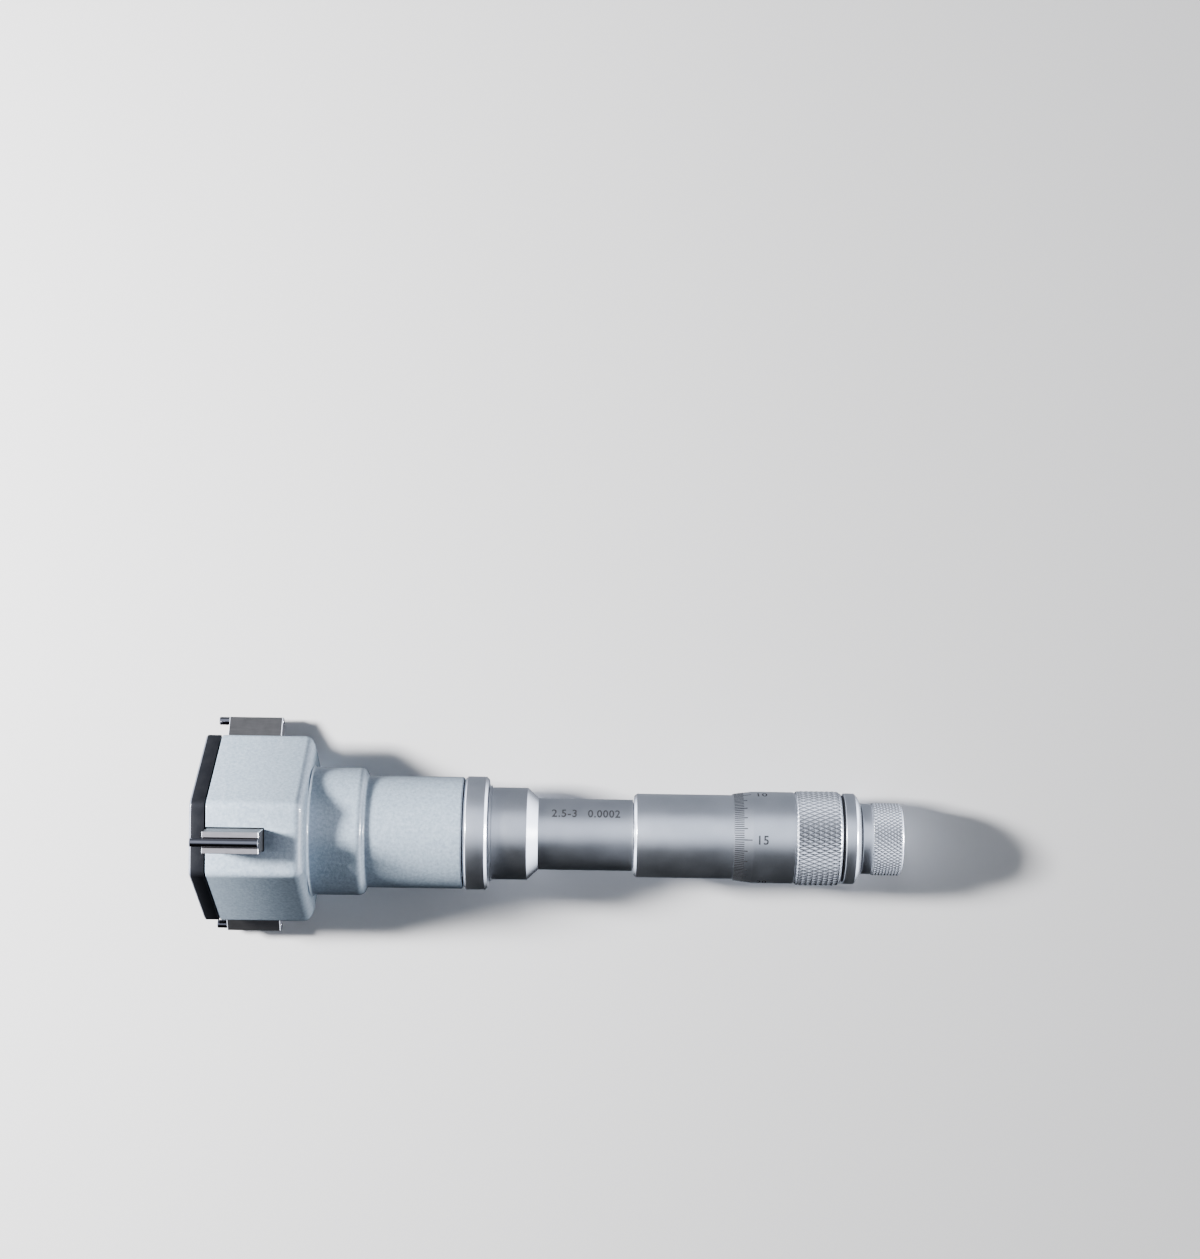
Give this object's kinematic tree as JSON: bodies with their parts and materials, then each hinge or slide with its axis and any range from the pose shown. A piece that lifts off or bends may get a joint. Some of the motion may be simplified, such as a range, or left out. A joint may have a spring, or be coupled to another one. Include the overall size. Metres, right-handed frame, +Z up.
{
  "type": "inside micrometer",
  "caption": "Self-centring inside micrometer: a graduated thimble drives a cone that spreads radial anvils from a faceted head, and a ratchet knob limits the measuring force.",
  "frame": {"origin": "on the measuring axis, at the middle of the end cover's outer face", "axes": "+X along the measuring axis towards the ratchet, +Z up along the top anvil, with the instrument lying on the wide facet opposite that anvil"},
  "size_m": [0.1852, 0.058, 0.053],
  "materials": {
    "grey_enamel": "fine hammered enamel",
    "black_finish": "satin black",
    "satin_chrome": "satin",
    "ground_steel": "ground",
    "anvil_steel": "ground",
    "hard_metal": "lapped",
    "spring_steel": "oiled"
  },
  "bodies": {
    "frame": {"head_housing": "grey_enamel", "end_cover": "black_finish", "cover_screw_1": "spring_steel", "cover_screw_2": "spring_steel", "cover_screw_3": "spring_steel", "guide_bush": "ground_steel", "lock_ring": "satin_chrome", "frame_tube": "satin_chrome", "scale_sleeve": "satin_chrome", "adjusting_screw": "spring_steel", "spindle_nut": "ground_steel", "nut_adjuster": "ground_steel", "rod_return_spring": "spring_steel", "anvil_spring_top": "spring_steel", "anvil_spring_rear": "spring_steel", "anvil_spring_front": "spring_steel"},
    "cone_assembly": {"measuring_cone": "ground_steel", "push_rod": "ground_steel", "thrust_ball": "ground_steel"},
    "thimble_assembly": {"spindle": "ground_steel", "thimble": "satin_chrome", "thimble_cap": "satin_chrome", "ratchet_pawl": "ground_steel", "ratchet_spring": "spring_steel", "ratchet_screw": "ground_steel"},
    "ratchet_assembly": {"ratchet_knob": "satin_chrome"},
    "top_anvil": {"anvil_top": "anvil_steel", "measuring_pin_top": "hard_metal"},
    "rear_anvil": {"anvil_rear": "anvil_steel", "measuring_pin_rear": "hard_metal"},
    "front_anvil": {"anvil_front": "anvil_steel", "measuring_pin_front": "hard_metal"}
  },
  "joints": [
    {"name": "cone_slide", "type": "slide", "parent": "frame", "child": "cone_assembly", "axis": [-1, 0, 0], "range_m": [-0.0027, 0.01], "deforming": ["rod_return_spring"]},
    {"name": "thimble_turn", "type": "hinge", "parent": "cone_assembly", "child": "thimble_assembly", "pos_m": [0.16, 0, 0], "axis": [-1, 0, 0], "range_deg": [-1531, 5670]},
    {"name": "ratchet_turn", "type": "hinge", "parent": "thimble_assembly", "child": "ratchet_assembly", "pos_m": [0.18, 0, 0], "axis": [-1, 0, 0], "continuous": true},
    {"name": "top_anvil_slide", "type": "slide", "parent": "frame", "child": "top_anvil", "axis": [0, 0, 1], "range_m": [-0.00135, 0.005], "deforming": ["anvil_spring_top"]},
    {"name": "rear_anvil_slide", "type": "slide", "parent": "frame", "child": "rear_anvil", "axis": [0, 0.866, -0.5], "range_m": [-0.00135, 0.005], "deforming": ["anvil_spring_rear"]},
    {"name": "front_anvil_slide", "type": "slide", "parent": "frame", "child": "front_anvil", "axis": [0, -0.866, -0.5], "range_m": [-0.00135, 0.005], "deforming": ["anvil_spring_front"]}
  ],
  "couplings": [
    {"joint": "thimble_turn", "follows": "cone_slide", "rad_per_m": 9894.8},
    {"joint": "top_anvil_slide", "follows": "cone_slide", "ratio": 0.5},
    {"joint": "rear_anvil_slide", "follows": "cone_slide", "ratio": 0.5},
    {"joint": "front_anvil_slide", "follows": "cone_slide", "ratio": 0.5}
  ]
}
